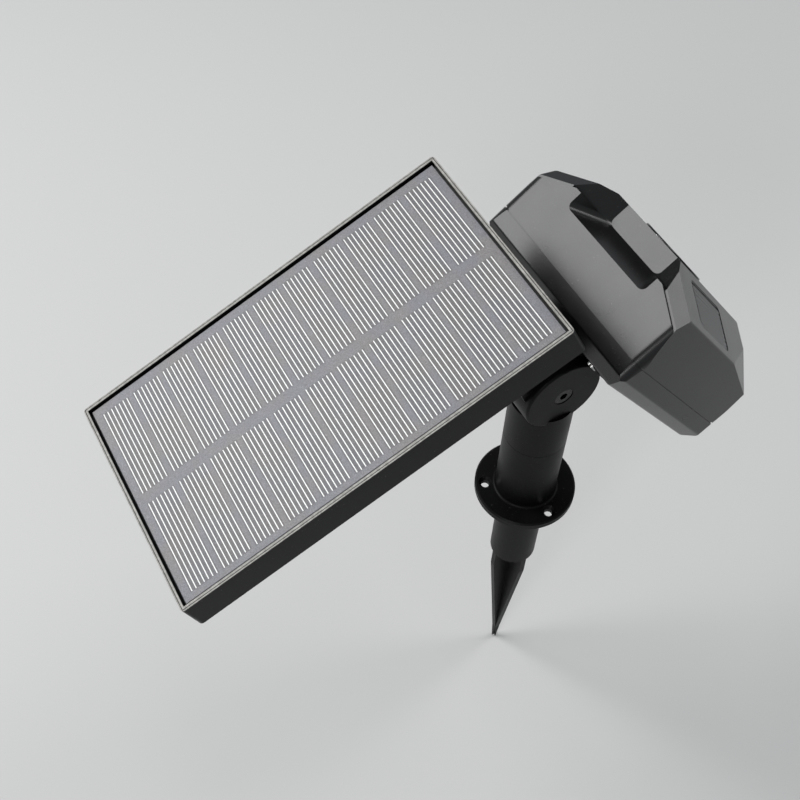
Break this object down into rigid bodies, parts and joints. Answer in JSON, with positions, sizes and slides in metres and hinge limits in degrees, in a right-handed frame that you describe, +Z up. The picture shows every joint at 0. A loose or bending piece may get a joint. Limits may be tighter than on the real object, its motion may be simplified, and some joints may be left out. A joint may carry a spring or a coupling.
{
  "type": "solar security camera",
  "caption": "Solar-powered outdoor security camera: a tilting floodlight camera head and a tilting solar panel on a swivelling post with a bolt-down flange and ground spike.",
  "frame": {"origin": "centre of the flange's underside, on the post's swivel axis", "axes": "+Z up along the post; at rest the camera looks towards -Y and 37 degrees up, and the solar panel reaches back over +Y; X runs along both tilt hinges"},
  "size_m": [0.102, 0.2823, 0.379],
  "materials": {
    "black_shell": "satin black moulded plastic",
    "black_post": "fine-textured black moulded plastic",
    "panel_frame": "black moulded tray with a worn pale rim",
    "silicon": "mottled grey-blue silicon with white fingers",
    "backing": "grey laminate board",
    "film": "clear film",
    "rubber": "soft black rubber",
    "steel": "zinc-plated steel",
    "glass": "clear camera glass",
    "clear": "clear moulded light guide",
    "smoked": "smoked clear cover with prism ribs behind",
    "white_lens": "milky sensor lens",
    "silver": "metallised reflector",
    "led": "phosphor-coated light chips",
    "pcb": "green circuit board",
    "battery": "wrapped cells",
    "inner": "black inner moulding"
  },
  "bodies": {
    "base": {"base_post": "black_post", "ground_spike": "black_post"},
    "carrier": {"carrier_arm": "black_post", "swivel_screw": "steel", "swivel_washer": "steel", "swivel_o_ring": "rubber", "head_pivot_screw": "steel", "head_pivot_nut": "steel", "head_friction_washers": "rubber"},
    "head": {"housing": "black_shell", "back_shell": "black_shell", "front_bezel": "black_shell", "head_gasket": "rubber", "head_bracket": "black_post", "head_bracket_screws": "steel", "head_clamp_screws": "steel", "right_light_cover": "smoked", "left_light_cover": "smoked", "right_reflector": "silver", "left_reflector": "silver", "right_light_board": "pcb", "left_light_board": "pcb", "right_light_chips": "led", "left_light_chips": "led", "camera_glass": "glass", "camera_ring": "black_shell", "lens_barrel": "inner", "camera_lens": "glass", "sensor_board": "pcb", "infrared_board": "pcb", "infrared_leds": "glass", "motion_lens": "white_lens", "motion_sensor": "steel", "status_light": "clear", "microphone": "steel", "main_board": "pcb", "battery_cells": "battery", "battery_holder": "inner", "speaker": "inner", "head_gland": "rubber", "antenna": "pcb", "control_board": "pcb", "charging_socket": "steel", "port_cover": "rubber"},
    "panel": {"panel_tray": "panel_frame", "laminate_backing": "backing", "solar_cells": "silicon", "laminate_film": "film", "cover_gasket": "rubber", "bottom_cover": "panel_frame", "bottom_cover_screws": "steel", "charge_board": "pcb", "panel_gland": "rubber", "panel_bracket": "black_post", "panel_bracket_screws": "steel", "panel_pivot_screw": "steel", "panel_pivot_nut": "steel", "panel_friction_washers": "rubber"},
    "power_button": {"power_button": "rubber"}
  },
  "joints": [
    {"name": "post_swivel", "type": "hinge", "parent": "base", "child": "carrier", "pos_m": [0, 0, 0], "axis": [0, 0, 1], "continuous": true},
    {"name": "head_tilt", "type": "hinge", "parent": "carrier", "child": "head", "pos_m": [0, 0, 0.0945], "axis": [1, 0, 0], "range_deg": [-20, 40]},
    {"name": "panel_tilt", "type": "hinge", "parent": "carrier", "child": "panel", "pos_m": [0, 0.05312, 0.16422], "axis": [1, 0, 0], "range_deg": [-45, 18]},
    {"name": "power_button_press", "type": "slide", "parent": "head", "child": "power_button", "axis": [0, 0.6004, 0.7997], "range_m": [0, 0.0012], "stiffness_N_per_m": 400}
  ]
}
